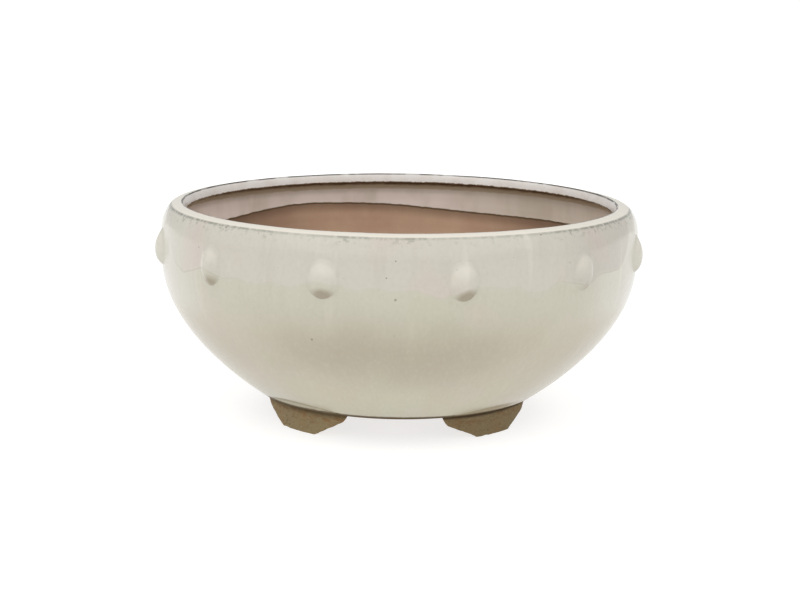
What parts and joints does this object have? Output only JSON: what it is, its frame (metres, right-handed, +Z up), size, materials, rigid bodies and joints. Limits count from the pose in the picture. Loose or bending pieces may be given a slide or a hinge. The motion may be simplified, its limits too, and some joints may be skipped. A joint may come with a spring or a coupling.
{
  "type": "bonsai pot",
  "caption": "Round footed ceramic plant pot with domed bosses round its belly, an inturned rim and a drained floor.",
  "frame": {"origin": "on the surface the pot stands on, under the pot's axis", "axes": "+Z up the pot's axis; -Y out of the front, midway between two bosses and between the two front feet"},
  "size_m": [0.3018, 0.3018, 0.1364],
  "materials": {
    "wall_glaze": "glossy cream glaze with soft mottling",
    "rim_glaze": "glossy pale cream glaze, broken to grey on the edges",
    "boss_glaze": "glossy cream glaze",
    "floor_clay": "bare fired clay, matte",
    "foot_clay": "bare sandy stoneware clay, matte"
  },
  "bodies": {
    "root": {"bowl_wall": "wall_glaze", "floor_slab": "floor_clay", "rim": "rim_glaze", "boss_01": "boss_glaze", "boss_02": "boss_glaze", "boss_03": "boss_glaze", "boss_04": "boss_glaze", "boss_05": "boss_glaze", "boss_06": "boss_glaze", "boss_07": "boss_glaze", "boss_08": "boss_glaze", "boss_09": "boss_glaze", "boss_10": "boss_glaze", "boss_11": "boss_glaze", "boss_12": "boss_glaze", "foot_front_left": "foot_clay", "foot_front_right": "foot_clay", "foot_back_left": "foot_clay", "foot_back_right": "foot_clay"}
  },
  "joints": []
}
